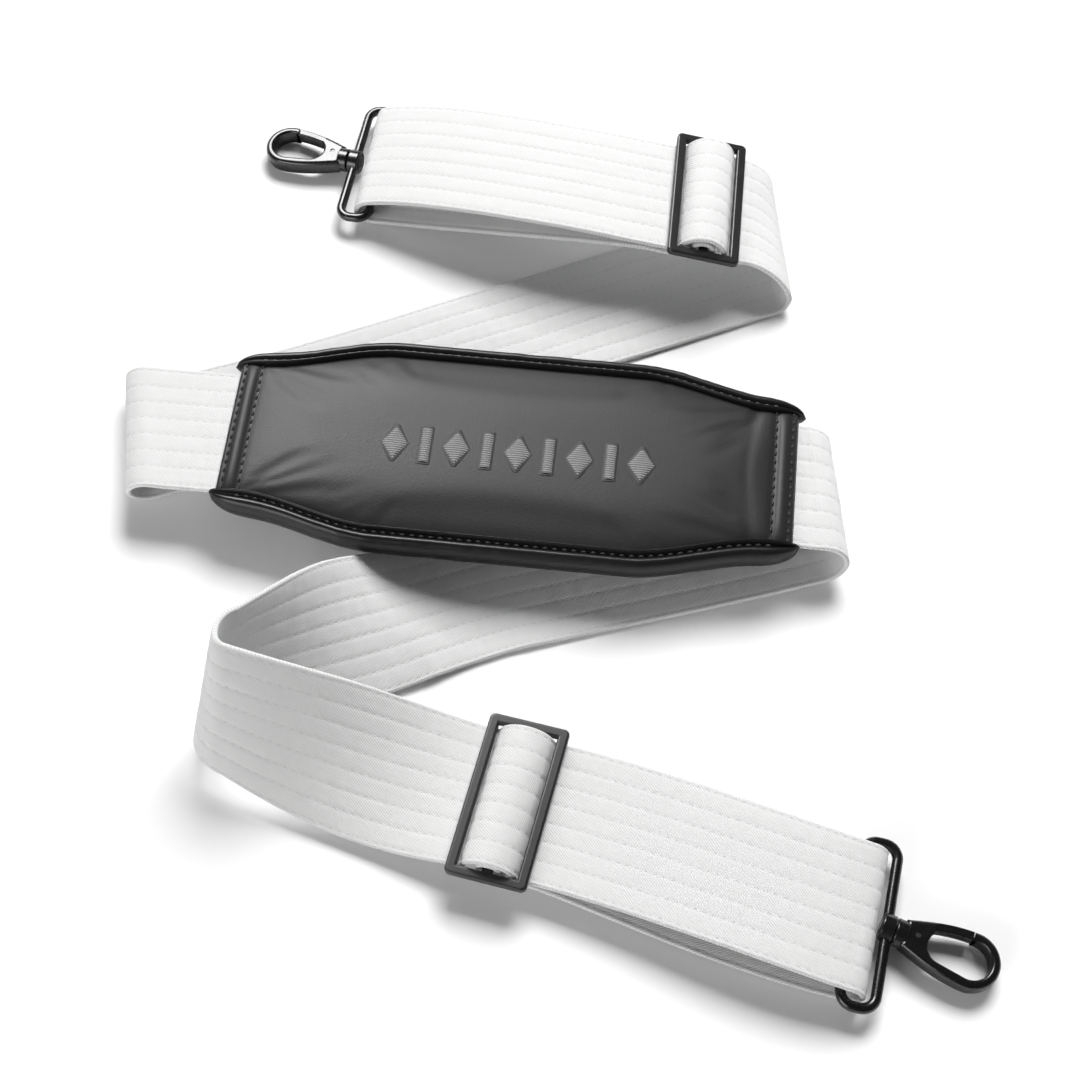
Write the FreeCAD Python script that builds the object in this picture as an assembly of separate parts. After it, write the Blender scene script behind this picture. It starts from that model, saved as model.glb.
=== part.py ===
import FreeCAD, Part
import math
import os
from FreeCAD import Matrix, Placement, Rotation, Vector

# A padded shoulder strap that lies in an S on a flat surface. A padded sleeve
# sits in the middle, and quilted webbing leaves it at both ends. Each webbing
# goes through a slide adjuster, round a rectangular ring and back to the
# adjuster. A swivel snap hook hangs on each ring.
#
# The model is built on the resting surface z = 0, in millimetres, +Z up, and
# moved at the end so that its origin is at the middle of its footprint.
# A heading is an angle in plan, counter-clockwise from +X. A climb is an angle
# up from the surface, and a bank is a roll about the direction of travel.

# ---- driving dimensions ----------------------------------------------------
UP = Vector(0, 0, 1)
GAP = 0.3  # clearance between pieces on different bodies

WEB_WIDTH = 50.0
WEB_THICK = 2.2
WEB_HALF = WEB_THICK / 2

PAD_CENTRE = Vector(-10.8, 22.2, 0)
PAD_HEADING = -6.2
PAD_OFFSET = 1.8  # the pad's middle line lies this far behind the webbing's
PAD_LENGTH = 204.0  # between the ends of the top cover
PAD_BASE = 12.0  # height of the pad's underside
PAD_THICK = 14.0
PAD_END_HALF = 33.6  # half width at the ends
PAD_MID_HALF = 43.0  # half width in the middle
PAD_SHOULDERS = (88.0, 50.0)  # where the width starts and stops growing
COVER_THICK = 1.6
BINDING_WIDTH = 6.5
BINDING_OVERHANG = 5.0  # how far a binding runs past the covers
SEWN_LENGTH = 22.0  # webbing inside the pad's end
PAD_WEB_HEIGHT = 19.5  # centre line of the webbing in the pad's end

MOTIF_COUNT = 9  # embroidered shapes on the top cover
MOTIF_PITCH = 11.0
MOTIF_HALF_HEIGHT = 7.0
MOTIF_PLACE = (3.0, -3.0)  # its middle, along and across the pad
LOZENGE_HALF = 5.0
BAR_HALF = 2.0
MOTIF_PROUD = 0.7

SLIDER_DEPTH = 27.6  # along the webbing
SLIDER_LENGTH = 58.0  # across the webbing
SLIDER_THICK = 3.0
SLIDER_BAR = 3.6
SLIDER_END_BAR = 3.4
CENTRE_BAR_THICK = 2.4
SLIDER_EDGE = 0.8
SLIDER_LEAD = 2.0  # webbing between its last station and the frame

ARCH_FOOT = 2.2  # webbing's bend as it rises through the slider
ARCH_START = 3.0  # from the slider's rear edge to the foot of the arch
END_LOOP_RADIUS = 3.1  # webbing's end loop round the centre bar
END_LOOP_FLAT = 1.0
TAIL_RADIUS = 2.0
RETURN_DROP = 2.7  # from the end loop's underside to the return layer
RETURN_BEND = 2.5
RETURN_ANGLE = 40.0
RETURN_LEAD = 9.0  # straight length before the end loop

RING_WIRE = 1.8  # radius of the ring's wire
RING_INNER_LENGTH = 52.0
RING_DEPTH = 11.5  # between the centre lines of the two long bars
RING_CORNER = 4.7
RING_TILT = 4.2  # the ring and hook slope down to the surface
BOSS_RADIUS = 4.7
BOSS_HALF = 2.2
BOSS_EDGE = 0.6
FOLD_RADIUS = 5.5  # webbing's fold round the ring's inner bar

STEM_RADIUS = 2.0
STEM_HEAD_RADIUS = 3.2
STEM_HEAD_THICK = 1.4
STEM_SHOULDER = 0.9  # the head stops this far behind the outer bar's axis
STEM_GRIP = 3.6  # length of the stem inside the hook's shank
RUNNING = 0.05  # radial clearance of a turning shaft

HOOK_THICK = 7.0
HOOK_EDGE = 1.7
EYE_EDGE = 1.0
HOOK_START = BOSS_HALF + GAP
COLLAR_RADIUS = 4.6
COLLAR_LENGTH = 2.6
COLLAR_LAP = 1.5  # how far the collar runs into the shank
SMALL_EDGE = 0.5
SHANK_START_HALF = 4.6
NOSE_CENTRE = 28.0
NOSE_RADIUS = 9.5
EYE_RADIUS = 6.4  # at its far end
EYE_NEAR_RADIUS = 5.2
EYE_NEAR = 18.5  # centres of the eye's two round ends
EYE_FAR = 28.0

GATE_PIVOT = Vector(9.5, 0.8, 0)
OUTLINE_STEPS = 6
GATE_THICK = 5.0
GATE_WIDTH = 2.9
GATE_ROOT = 5.5  # length over which the gate widens to its barrel
GATE_END = 26.4
GATE_EDGE = 0.6
GATE_BARREL = 2.3
GATE_TRAVEL = 25.0
SWEEP_STEPS = 8
GATE_SLOT_GAP = 0.3
MOUTH_START = 14.3  # where the hook's cheeks end beside the gate
PIN_RADIUS = 1.0
PIN_SUNK = 0.35
SPRING_WIRE = 0.25
SPRING_RADIUS = 1.55
SPRING_SPACE = 1.6
SPRING_TURNS = 3

# Stations of each webbing: (centre, heading, climb, bank, side, skew). side is
# 1 where the outer face looks up and -1 where it looks down.
UPPER_RUN = dict(
    exit_length=29.0,
    loop=(9.2, -180.0, -12.0),
    under=[
        (Vector(-79.0, 62.4, 1.1), 20.4, 0.0, 0.0, -1, 0.0),
        (Vector(88.8, 124.9, 1.1), 20.4, 0.0, 0.0, -1, -16.0),
    ],
    folds=[(5.2, -112.0, -16.0)],
    slider=(Vector(79.0, 133.6, 20.0), 174.0, 11.0, 0.0, 1, 0.0),
    bar=Vector(-62.9, 167.8, 7.2),
    fold_shift=0.4,
    fold_heading=171.5,
    ring_heading=169.2,
    hook_heading=162.9,
    gate_side=-1,
    arrive=(15.0, 35.0),
    leave=(0.0, 30.0),
)
LOWER_RUN = dict(
    exit_length=7.5,
    loop=(8.0, -177.0, -10.0),
    under=[
        (Vector(-9.3, -19.1, 1.4), -166.4, 1.3, 0.0, -1, 0.0),
        (Vector(-46.0, -32.5, 5.4), -155.0, 14.0, -7.0, -1, 0.0),
        (Vector(-104.1, -61.5, 26.9), -152.0, 15.6, -77.0, -1, -7.0),
    ],
    folds=[(12.0, -77.0, -7.0), (7.7, -62.0, -18.0)],
    slider=(Vector(-25.7, -100.6, 8.6), -15.0, 1.0, 0.0, 1, 0.0),
    bar=Vector(100.2, -143.2, 7.2),
    fold_shift=1.7,
    fold_heading=-13.5,
    ring_heading=-13.5,
    hook_heading=-22.5,
    gate_side=1,
    arrive=(12.0, 35.0),
    leave=(1.0, 40.0),
)


# ---- frames and ribbons ----------------------------------------------------
def turned(v, axis, degrees):
    """v turned about a unit axis."""
    return Rotation(axis, degrees).multVec(v)


def station_frame(centre, heading, climb, bank, side):
    """Centre, direction of travel and outer normal at a station."""
    h = math.radians(heading)
    c = math.radians(climb)
    travel = Vector(math.cos(h) * math.cos(c), math.sin(h) * math.cos(c), math.sin(c))
    normal = Vector(-math.cos(h) * math.sin(c), -math.sin(h) * math.sin(c), math.cos(c)) * side
    return centre, travel, turned(normal, travel, bank)


class Ribbon:
    """A strip of webbing grown by straight, bent and bridged lengths. Each
    section holds its centre, its cross line per unit of width and its normal."""

    def __init__(self, centre, travel, normal):
        self.at = Vector(centre)
        self.travel = Vector(travel)
        self.normal = Vector(normal)
        self.sections = []
        self.add(self.at, self.normal.cross(self.travel), self.normal)

    def add(self, centre, across, normal):
        self.sections.append((Vector(centre), Vector(across), Vector(normal)))

    def go(self, length, skew=0.0, steps=1):
        """Straight on, while the cross line turns to a skew."""
        across = self.normal.cross(self.travel)
        for i in range(1, steps + 1):
            self.at = self.at + self.travel * (length / steps)
            lean = math.tan(math.radians(skew * i / steps))
            self.add(self.at, across + self.travel * lean, self.normal)

    def bend(self, radius, degrees, skews=(0.0, 0.0), step=12.0):
        """Bend about an axis skewed from the cross line, by a skew that changes
        evenly. Positive degrees bend towards the normal."""
        sign = 1 if degrees > 0 else -1
        steps = max(2, math.ceil(abs(degrees) / step))
        a = math.radians(abs(degrees)) / steps
        for i in range(1, steps + 1):
            k = math.radians(skews[0] + (skews[1] - skews[0]) * i / steps)
            across = self.normal.cross(self.travel)
            axis = across * math.cos(k) + self.travel * math.sin(k)
            forward = self.travel * math.cos(k) - across * math.sin(k)
            self.at = self.at + axis * (radius * a * math.tan(k)) + forward * (radius * math.sin(a))
            self.at = self.at + self.normal * (sign * radius * (1 - math.cos(a)))
            ahead = forward * math.cos(a) + self.normal * (sign * math.sin(a))
            self.normal = self.normal * math.cos(a) - forward * (sign * math.sin(a))
            self.travel = ahead * math.cos(k) + axis * math.sin(k)
            self.add(self.at, axis * (1 / math.cos(k)), self.normal)

    def bridge(self, centre, travel, normal, skews=(0.0, 0.0), pulls=None, steps=10):
        """A smooth curve to another frame, whose cross lines turn evenly."""
        start, t0, n0 = Vector(self.at), Vector(self.travel), Vector(self.normal)
        chord = (centre - start).Length
        pull0, pull1 = pulls or (chord, chord)
        for i in range(1, steps + 1):
            t = i / steps
            h0 = 2 * t**3 - 3 * t**2 + 1
            h1 = t**3 - 2 * t**2 + t
            h2 = 3 * t**2 - 2 * t**3
            h3 = t**3 - t**2
            self.at = start * h0 + t0 * (h1 * pull0) + centre * h2 + travel * (h3 * pull1)
            slope = (start - centre) * (6 * t**2 - 6 * t)
            slope = slope + t0 * ((3 * t**2 - 4 * t + 1) * pull0)
            slope = slope + travel * ((3 * t**2 - 2 * t) * pull1)
            self.travel = slope.normalize()
            mixed = n0 * (1 - t) + normal * t
            self.normal = (mixed - self.travel * mixed.dot(self.travel)).normalize()
            skew = math.tan(math.radians(skews[0] * (1 - t) + skews[1] * t))
            across = self.normal.cross(self.travel) + self.travel * skew
            self.add(self.at, across, self.normal)

    def solid(self):
        """A closed solid of webbing thickness round the sections."""
        wires = []
        for centre, across, normal in self.sections:
            side = across * (WEB_WIDTH / 2)
            lift = normal * WEB_HALF
            corners = [centre + side + lift, centre - side + lift]
            corners += [centre - side - lift, centre + side - lift]
            wires.append(Part.makePolygon(corners + corners[:1]))
        return Part.makeLoft(wires, True, True)


def placement(origin, x_dir, z_dir):
    """The placement that puts local X and Z on two directions at an origin."""
    y_dir = z_dir.cross(x_dir)
    m = Matrix(
        x_dir.x, y_dir.x, z_dir.x, origin.x,
        x_dir.y, y_dir.y, z_dir.y, origin.y,
        x_dir.z, y_dir.z, z_dir.z, origin.z,
        0, 0, 0, 1,
    )  # fmt: skip
    return Placement(m)


def placed(shape, where):
    """A copy of a shape moved rigidly by a placement."""
    out = shape.copy()
    out.Placement = where.multiply(out.Placement)
    return out


def rounded(shape, radius, keep):
    """A shape with its edges filleted where keep(edge) is true."""
    edges = [e for e in shape.Edges if keep(e)]
    return shape.makeFillet(radius, edges)


# ---- pad -------------------------------------------------------------------
def pad_placement():
    h = math.radians(PAD_HEADING)
    x_dir = Vector(math.cos(h), math.sin(h), 0)
    origin = PAD_CENTRE + UP * PAD_BASE + UP.cross(x_dir) * PAD_OFFSET
    return placement(origin, x_dir, UP)


def pad_edge(side, inset, reach):
    """One long edge of the pad's outline in the pad's own frame."""
    far, near = PAD_SHOULDERS
    middle = (far + near) / 2
    rise = PAD_MID_HALF - PAD_END_HALF
    slope = inset * 0.06  # a sloped stretch is inset along its normal
    half = {reach: 0, far: 0.04, middle: 0.5, near: 0.96, 0: 1.0}
    points = []
    for u, share in half.items():
        extra = slope if u == middle else 0
        points.append((u, PAD_END_HALF + rise * share - inset - extra))
    right = [Vector(u, side * v, 0) for u, v in points]
    left = [Vector(-u, side * v, 0) for u, v in points[:-1]]
    curve = Part.BSplineCurve()
    curve.interpolate(left + right[::-1])
    return curve.toShape()


def pad_slab(inset, low, high):
    """A layer of the pad between two heights, inset from the outline."""
    reach = PAD_LENGTH / 2
    front = pad_edge(-1, inset, reach)
    back = pad_edge(1, inset, reach)
    f0, f1 = front.valueAt(front.FirstParameter), front.valueAt(front.LastParameter)
    b0, b1 = back.valueAt(back.FirstParameter), back.valueAt(back.LastParameter)
    ring = Part.Wire([front, Part.makeLine(f1, b1), back, Part.makeLine(b0, f0)])
    slab = Part.Face(ring).extrude(Vector(0, 0, high - low))
    slab.translate(Vector(0, 0, low))
    return slab


def web_pocket():
    """The room that the two webbing ends take inside the pad."""
    tool = None
    half = WEB_HALF + 0.1
    for side in (-1, 1):
        length = SEWN_LENGTH + 10
        start = side * (PAD_LENGTH / 2 - SEWN_LENGTH - 0.2)
        box = Part.makeBox(length, WEB_WIDTH + 0.4, 2 * half)
        z = PAD_WEB_HEIGHT - PAD_BASE - half
        edge = -WEB_WIDTH / 2 - 0.2 - PAD_OFFSET
        box.translate(Vector(min(start, start + side * length), edge, z))
        tool = box if tool is None else tool.fuse(box)
    return tool


def make_pad():
    """Covers, foam core and the two edge bindings."""
    where = pad_placement()
    inset = BINDING_WIDTH + 0.3
    base_top = COVER_THICK
    core_top = PAD_THICK - COVER_THICK - MOTIF_PROUD
    top = PAD_THICK - MOTIF_PROUD
    core = pad_slab(inset, base_top, core_top).cut(web_pocket())
    nodes = {
        "pad_bottom_cover": pad_slab(inset, 0, base_top),
        "pad_foam_core": core,
        "pad_top_cover": pad_slab(inset, core_top, top),
        "pad_motif": make_motif(top),
    }
    for name, side in (("edge_binding_front", -1), ("edge_binding_back", 1)):
        nodes[name] = make_binding(side)
    return {name: placed(shape, where) for name, shape in nodes.items()}


def make_binding(side):
    """A rounded strip along one long edge of the pad."""
    reach = PAD_LENGTH / 2 + BINDING_OVERHANG
    path = pad_edge(side, BINDING_WIDTH / 2, reach)
    start = path.valueAt(path.FirstParameter)
    radius = BINDING_WIDTH / 2
    low, high = radius, PAD_THICK - radius
    corners = [(-radius, low), (-radius, high), (radius, high), (radius, low)]
    ring = [Vector(start.x, start.y + y, z) for y, z in corners]
    over = Vector(start.x, start.y, PAD_THICK)
    under = Vector(start.x, start.y, 0)
    profile = Part.Wire([
        Part.makeLine(ring[0], ring[1]),
        Part.Arc(ring[1], over, ring[2]).toShape(),
        Part.makeLine(ring[2], ring[3]),
        Part.Arc(ring[3], under, ring[0]).toShape(),
    ])
    return Part.Wire([path]).makePipeShell([profile], True, False)


def make_motif(base):
    """A plain embroidered row: lozenges with upright bars between them."""
    shapes = []
    for i in range(MOTIF_COUNT):
        u = MOTIF_PLACE[0] + (i - (MOTIF_COUNT - 1) / 2) * MOTIF_PITCH
        half_u = LOZENGE_HALF if i % 2 == 0 else BAR_HALF
        if i % 2 == 0:
            corners = [(-half_u, 0), (0, -MOTIF_HALF_HEIGHT), (half_u, 0), (0, MOTIF_HALF_HEIGHT)]
        else:
            v = MOTIF_HALF_HEIGHT
            corners = [(-half_u, -v), (half_u, -v), (half_u, v), (-half_u, v)]
        ring = [Vector(u + x, MOTIF_PLACE[1] + y, base) for x, y in corners]
        face = Part.Face(Part.makePolygon(ring + ring[:1]))
        shapes.append(face.extrude(Vector(0, 0, MOTIF_PROUD)))
    return Part.makeCompound(shapes)


# ---- slide adjuster --------------------------------------------------------
def make_slider():
    """Three-bar frame, local X along the webbing, Z up, from the rear edge."""
    half = SLIDER_LENGTH / 2
    frame = Part.makeBox(SLIDER_DEPTH, SLIDER_LENGTH, SLIDER_THICK, Vector(0, -half, 0))
    frame = rounded(frame, 2.0, lambda e: abs(e.tangentAt(e.FirstParameter).z) > 0.9)
    window_half = half - SLIDER_END_BAR
    depth = SLIDER_DEPTH - 2 * SLIDER_BAR
    window = Part.makeBox(depth, 2 * window_half, SLIDER_THICK, Vector(SLIDER_BAR, -window_half, 0))
    frame = frame.cut(window)
    frame = rounded(frame, SLIDER_EDGE, lambda e: e.Length > 1 and flat_edge(e))
    low = (SLIDER_THICK - CENTRE_BAR_THICK) / 2
    corner = Vector((SLIDER_DEPTH - SLIDER_BAR) / 2, -window_half - 1, low)
    bar = Part.makeBox(SLIDER_BAR, 2 * window_half + 2, CENTRE_BAR_THICK, corner)
    bar = rounded(bar, 1.0, lambda e: abs(e.tangentAt(e.FirstParameter).y) > 0.9)
    return frame.fuse(bar)


def flat_edge(edge):
    """True for an edge that lies in a level plane."""
    box = edge.BoundBox
    return box.ZLength < 0.01


# ---- ring and swivel -------------------------------------------------------
def make_ring(swivel_dir):
    """Rectangular wire ring, local X from the inner bar to the outer bar, with
    a drilled barrel on the outer bar along swivel_dir."""
    reach = RING_INNER_LENGTH / 2 + RING_WIRE
    r = RING_CORNER
    d = RING_DEPTH
    tip = r * (1 - math.sqrt(0.5))
    points = []
    for x, y, sx, sy in ((0, reach, 1, -1), (d, reach, -1, -1), (d, -reach, -1, 1), (0, -reach, 1, 1)):
        along_x = Vector(x + sx * r, y, 0)
        along_y = Vector(x, y + sy * r, 0)
        middle = Vector(x + sx * tip, y + sy * tip, 0)
        pair = [along_y, middle, along_x]
        points.append(pair if len(points) % 2 == 0 else pair[::-1])
    edges = []
    for i, (a, m, b) in enumerate(points):
        edges.append(Part.Arc(a, m, b).toShape())
        edges.append(Part.makeLine(b, points[(i + 1) % 4][0]))
    path = Part.Wire(edges)
    start = edges[-1].valueAt((edges[-1].FirstParameter + edges[-1].LastParameter) / 2)
    path = Part.Wire(split_at(edges, start))
    profile = Part.Wire([Part.makeCircle(RING_WIRE, start, Vector(0, 1, 0))])
    ring = path.makePipeShell([profile], True, False)
    base = Vector(d, 0, 0) - swivel_dir * BOSS_HALF
    boss = Part.makeCylinder(BOSS_RADIUS, 2 * BOSS_HALF, base, swivel_dir)
    boss = rounded(boss, BOSS_EDGE, lambda e: e.Closed)
    far = Vector(d, 0, 0) - swivel_dir * (2 * BOSS_HALF)
    hole = Part.makeCylinder(STEM_RADIUS + RUNNING, 4 * BOSS_HALF, far, swivel_dir)
    sunk = 2 * BOSS_HALF - STEM_SHOULDER
    counterbore = Part.makeCylinder(STEM_HEAD_RADIUS + GAP, sunk, far, swivel_dir)
    return ring.fuse(boss).cut(hole).cut(counterbore)


def split_at(edges, start):
    """The same closed path, begun at a point in the middle of its last line."""
    last = edges[-1]
    end0 = last.valueAt(last.FirstParameter)
    end1 = last.valueAt(last.LastParameter)
    return [Part.makeLine(start, end1)] + edges[:-1] + [Part.makeLine(end0, start)]


def make_stem():
    """Headed swivel stem along local X, through the ring's barrel at X = 0."""
    x_dir = Vector(1, 0, 0)
    head_start = -STEM_SHOULDER - 2 * RUNNING - STEM_HEAD_THICK
    head = Part.makeCylinder(STEM_HEAD_RADIUS, STEM_HEAD_THICK, Vector(head_start, 0, 0), x_dir)
    head = rounded(head, SMALL_EDGE, lambda e: e.Closed)
    shank_start = head_start + STEM_HEAD_THICK / 2
    length = HOOK_START + STEM_GRIP - shank_start
    shank = Part.makeCylinder(STEM_RADIUS, length, Vector(shank_start, 0, 0), x_dir)
    return head.fuse(shank)


# ---- snap hook -------------------------------------------------------------
def outer_line(x):
    """Half width of the hook's outline at a distance x, level at the nose."""
    start = HOOK_START + COLLAR_LENGTH
    share = (x - start) / (NOSE_CENTRE - start)
    swell = math.sin(min(1, share) * math.pi / 2)
    return SHANK_START_HALF + (NOSE_RADIUS - SHANK_START_HALF) * swell


def curve_through(points):
    curve = Part.BSplineCurve()
    curve.interpolate(points)
    return curve.toShape()


def side_curve(x0, x1, offset, side):
    """The hook's outline between two distances, moved by offset(x)."""
    places = [x0 + (x1 - x0) * i / OUTLINE_STEPS for i in range(OUTLINE_STEPS + 1)]
    return curve_through([Vector(x, side * (outer_line(x) + offset(x)), 0) for x in places])


def hook_plate():
    """The hook's outline with its eye, as a plate about Z = 0."""
    start = HOOK_START + COLLAR_LENGTH
    sides = [side_curve(start, NOSE_CENTRE, lambda x: 0, side) for side in (-1, 1)]
    p = [Vector(start, -SHANK_START_HALF, 0), Vector(NOSE_CENTRE, -NOSE_RADIUS, 0)]
    p += [Vector(NOSE_CENTRE, NOSE_RADIUS, 0), Vector(start, SHANK_START_HALF, 0)]
    nose = Vector(NOSE_CENTRE + NOSE_RADIUS, 0, 0)
    arc = Part.Arc(p[1], nose, p[2]).toShape()
    outline = Part.Wire([sides[0], arc, sides[1], Part.makeLine(p[3], p[0])])
    plate = Part.Face(outline).extrude(Vector(0, 0, HOOK_THICK))
    plate.translate(Vector(0, 0, -HOOK_THICK / 2))
    plate = rounded(plate, HOOK_EDGE, flat_edge)
    plate = plate.cut(eye_tool())
    return rounded(plate, EYE_EDGE, eye_edge)


def eye_edge(edge):
    """True for an edge of the eye on either face of the hook."""
    box = edge.BoundBox
    inside = box.XMin > EYE_NEAR - EYE_NEAR_RADIUS - 1 and box.XMax < EYE_FAR + EYE_RADIUS + 1
    return flat_edge(edge) and inside and max(abs(box.YMin), abs(box.YMax)) < EYE_RADIUS + 1


def eye_tool():
    """The tapered eye: two round ends and the straight sides between them."""
    lean = math.asin((EYE_RADIUS - EYE_NEAR_RADIUS) / (EYE_FAR - EYE_NEAR))
    corners = []
    for x, r, side in ((EYE_NEAR, EYE_NEAR_RADIUS, -1), (EYE_FAR, EYE_RADIUS, -1),
                       (EYE_FAR, EYE_RADIUS, 1), (EYE_NEAR, EYE_NEAR_RADIUS, 1)):
        corners.append(Vector(x - r * math.sin(lean), side * r * math.cos(lean), -HOOK_THICK / 2))
    face = Part.Face(Part.makePolygon(corners + corners[:1]))
    tool = face.extrude(Vector(0, 0, HOOK_THICK))
    for x, r in ((EYE_NEAR, EYE_NEAR_RADIUS), (EYE_FAR, EYE_RADIUS)):
        tool = tool.fuse(Part.makeCylinder(r, HOOK_THICK, Vector(x, 0, -HOOK_THICK / 2)))
    return tool.removeSplitter()


def gate_outline(grow):
    """The gate's plan: a bar along the outer edge that widens to its pivot."""
    x0, x1 = GATE_PIVOT.x, GATE_END + grow / 2
    root = outer_line(x0) - GATE_WIDTH - GATE_PIVOT.y

    def inner(x):
        return -GATE_WIDTH - grow - root * max(0, 1 - (x - x0) / GATE_ROOT) ** 2

    def outer(x):
        return 4 * grow

    edges = [side_curve(x0, x1, inner, 1), side_curve(x0, x1, outer, 1)]
    low = [Vector(x0, outer_line(x0) + inner(x0), 0), Vector(x1, outer_line(x1) + inner(x1), 0)]
    high = [Vector(x0, outer_line(x0) + outer(x0), 0), Vector(x1, outer_line(x1) + outer(x1), 0)]
    ring = [edges[0], Part.makeLine(low[1], high[1]), edges[1], Part.makeLine(high[0], low[0])]
    return Part.Face(Part.Wire(ring))


def make_gate():
    """Gate bar with its barrel, which leaves room for the spring on one side."""
    bar = gate_outline(0).extrude(Vector(0, 0, GATE_THICK))
    bar.translate(Vector(0, 0, -GATE_THICK / 2))
    bar = rounded(bar, GATE_EDGE, lambda e: flat_edge(e) and e.Length > GATE_ROOT)
    barrel = Part.makeCylinder(GATE_BARREL, GATE_THICK, GATE_PIVOT - UP * GATE_THICK / 2)
    gate = bar.fuse(barrel)
    room = Part.makeCylinder(GATE_BARREL + 0.8, SPRING_SPACE, GATE_PIVOT + UP * (GATE_THICK / 2 - SPRING_SPACE))
    hole = Part.makeCylinder(PIN_RADIUS + RUNNING, HOOK_THICK, GATE_PIVOT - UP * HOOK_THICK / 2)
    return gate.cut(room).cut(hole)


def gate_room():
    """The space that the gate sweeps, cut from the hook."""
    grow = GATE_SLOT_GAP
    tool = None
    for i in range(SWEEP_STEPS + 1):
        face = gate_outline(grow)
        face.rotate(GATE_PIVOT, UP, -(GATE_TRAVEL + 1) * i / SWEEP_STEPS)
        slab = face.extrude(Vector(0, 0, GATE_THICK + 2 * grow))
        slab.translate(Vector(0, 0, -GATE_THICK / 2 - grow))
        tool = slab if tool is None else tool.fuse(slab)
    low = GATE_PIVOT - UP * (GATE_THICK / 2 + grow)
    tool = tool.fuse(Part.makeCylinder(GATE_BARREL + grow, GATE_THICK + 2 * grow, low))
    length = GATE_END + grow / 2 - MOUTH_START
    corner = Vector(MOUTH_START, 0, -HOOK_THICK / 2)
    mouth = Part.makeBox(length, 2 * NOSE_RADIUS, HOOK_THICK, corner)
    return tool.fuse(mouth)


def make_hook():
    """Hook body: collar, shank, eye and nose, slotted for its gate."""
    x_dir = Vector(1, 0, 0)
    body = hook_plate()
    start = Vector(HOOK_START, 0, 0)
    length = COLLAR_LENGTH + COLLAR_LAP
    collar = Part.makeCylinder(COLLAR_RADIUS, length, start, x_dir)
    collar = rounded(collar, SMALL_EDGE, lambda e: e.Closed)
    body = body.fuse(collar).cut(gate_room())
    socket = Part.makeCylinder(STEM_RADIUS, STEM_GRIP, Vector(HOOK_START, 0, 0), x_dir)
    pin_hole = Part.makeCylinder(PIN_RADIUS, HOOK_THICK, GATE_PIVOT - UP * HOOK_THICK / 2)
    body = body.cut(socket).cut(pin_hole)
    return max(body.Solids, key=lambda s: s.Volume)


def make_pin():
    """Rivet that the gate turns on, sunk a little into both cheeks."""
    length = HOOK_THICK - 2 * PIN_SUNK
    return Part.makeCylinder(PIN_RADIUS, length, GATE_PIVOT - UP * (length / 2))


def make_spring():
    """Small square-wire coil round the pin that closes the gate."""
    pitch = 2 * SPRING_WIRE + 0.04
    helix = Part.makeHelix(pitch, pitch * (SPRING_TURNS - 0.5), SPRING_RADIUS)
    low, high = -SPRING_WIRE, SPRING_WIRE
    corners = [(low, low), (high, low), (high, high), (low, high)]
    ring = [Vector(SPRING_RADIUS + x, 0, z) for x, z in corners]
    profile = Part.makePolygon(ring + ring[:1])
    coil = Part.Wire(helix).makePipeShell([profile], True, True)
    coil.translate(GATE_PIVOT + UP * (GATE_THICK / 2 - SPRING_SPACE + SPRING_WIRE + RUNNING))
    return coil


# ---- one side of the strap -------------------------------------------------
def slider_frame(run):
    """Origin, travel and normal of a slider: the webbing meets it SLIDER_LEAD
    before its rear edge and runs just under its frame."""
    centre, heading, climb, bank, side, _ = run["slider"]
    centre, travel, normal = station_frame(centre, heading, climb, bank, side)
    origin = centre + travel * SLIDER_LEAD + normal * (WEB_HALF + GAP)
    return origin, travel, normal


def ring_frame(run):
    """The inner bar's middle, the way to the hook and the ring's normal."""
    return station_frame(run["bar"], run["ring_heading"], -RING_TILT, 0, 1)


def swivel_frame(run):
    """The swivel's centre and axis, and the hook's own Z direction."""
    bar, outward, _ = ring_frame(run)
    centre = bar + outward * RING_DEPTH
    _, axis, normal = station_frame(centre, run["hook_heading"], -RING_TILT, 0, 1)
    return centre, axis, normal * run["gate_side"]


def pad_end(side):
    """Where the webbing starts, inside one end of the pad."""
    heading = PAD_HEADING if side > 0 else PAD_HEADING + 180
    h = math.radians(heading)
    reach = PAD_LENGTH / 2 - SEWN_LENGTH
    centre = PAD_CENTRE + Vector(math.cos(h), math.sin(h), 0) * reach + UP * PAD_WEB_HEIGHT
    return station_frame(centre, heading, 0, 0, 1)


def make_webbing(run, side):
    """The whole webbing of one side, from the pad to its sewn end loop."""
    strip = Ribbon(*pad_end(side))
    strip.go(SEWN_LENGTH)
    radius, angle, skew = run["loop"]
    strip.go(run["exit_length"], skew, 4)
    strip.bend(radius, angle, (skew, skew))
    for stop in run["under"]:
        strip.bridge(*station_frame(*stop[:5]), skews=(skew, stop[5]), steps=12)
        skew = stop[5]
    for radius, angle, skew in run["folds"]:
        strip.bend(radius, angle, (run["under"][-1][5], skew))
    strip.bridge(*station_frame(*run["slider"][:5]), skews=(skew, 0), steps=16)
    arch_over_bar(strip)
    round_the_ring(strip, run)
    end_loop(strip, run)
    return strip


def arch_over_bar(strip):
    """Under the slider's rear bar, over its centre bar and under its front bar,
    in one broad arch that fills the slider's windows."""
    level = SLIDER_THICK / 2 + END_LOOP_RADIUS + WEB_THICK + GAP
    climb = level + WEB_HALF + GAP
    half_span = SLIDER_DEPTH / 2 - ARCH_START
    slope = 2 * math.atan2(climb, half_span)
    crown = half_span / math.sin(slope) - ARCH_FOOT
    degrees = math.degrees(slope)
    strip.go(SLIDER_LEAD + ARCH_START)
    strip.bend(ARCH_FOOT, degrees)
    strip.bend(crown, -2 * degrees)
    strip.bend(ARCH_FOOT, degrees)
    strip.go(ARCH_START)


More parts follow.
